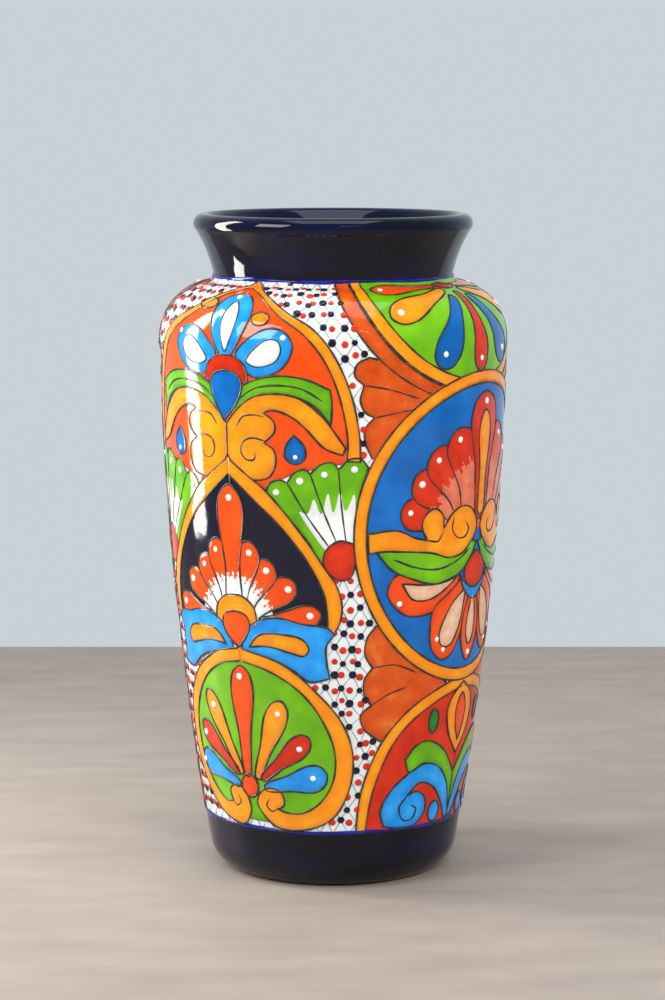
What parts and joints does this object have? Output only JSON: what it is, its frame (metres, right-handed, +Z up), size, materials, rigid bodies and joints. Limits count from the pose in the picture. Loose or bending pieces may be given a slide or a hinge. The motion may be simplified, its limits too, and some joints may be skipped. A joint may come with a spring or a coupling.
{
  "type": "vase",
  "caption": "Tall shouldered ceramic vase with a flared neck and rolled rim, raised painted panels in frames, and cobalt bands at neck and foot.",
  "frame": {"origin": "on the vase's axis, at the centre of the standing face", "axes": "+Z up the vase's axis; -Y towards the gap between a feather column and a roundel column, +X to the right of it"},
  "size_m": [0.2106, 0.2104, 0.4],
  "materials": {
    "raw_clay": "bare fired clay, matt, slightly sandy",
    "foot_clay": "bare fired clay rubbed smooth on the standing ring, matt",
    "white_glaze": "opaque tin-white glaze, glossy",
    "cobalt_glaze": "cobalt glaze, nearly black where it is thick, very glossy",
    "inner_glaze": "cobalt-washed lining glaze, glossy",
    "yellow_enamel": "raised yellow-orange enamel, glossy",
    "flame_enamel": "raised orange-red enamel, glossy",
    "navy_enamel": "raised dark blue enamel, glossy",
    "blue_enamel": "raised bright blue enamel, glossy",
    "green_enamel": "raised leaf-green enamel, brushed, glossy",
    "red_enamel": "raised brick-red enamel, glossy",
    "orange_enamel": "raised cloudy orange enamel, glossy"
  },
  "bodies": {
    "root": {"foot_ring": "foot_clay", "base_slab": "raw_clay", "lower_wall": "raw_clay", "shoulder": "raw_clay", "neck_collar": "raw_clay", "rim_roll": "raw_clay", "inner_glaze": "inner_glaze", "foot_glaze": "cobalt_glaze", "body_glaze": "white_glaze", "neck_glaze": "cobalt_glaze", "feather_panel_frame": "yellow_enamel", "feather_panel_ground": "flame_enamel", "navy_panel_frame": "yellow_enamel", "navy_panel_ground": "navy_enamel", "blue_wings": "blue_enamel", "green_roundel_frame": "yellow_enamel", "green_roundel_ground": "green_enamel", "green_fans": "green_enamel", "swag_frame": "yellow_enamel", "swag_ground": "green_enamel", "blue_roundel_frame": "yellow_enamel", "blue_roundel_ground": "blue_enamel", "red_panel_frame": "yellow_enamel", "red_panel_ground": "red_enamel", "orange_fans": "orange_enamel"}
  },
  "joints": []
}
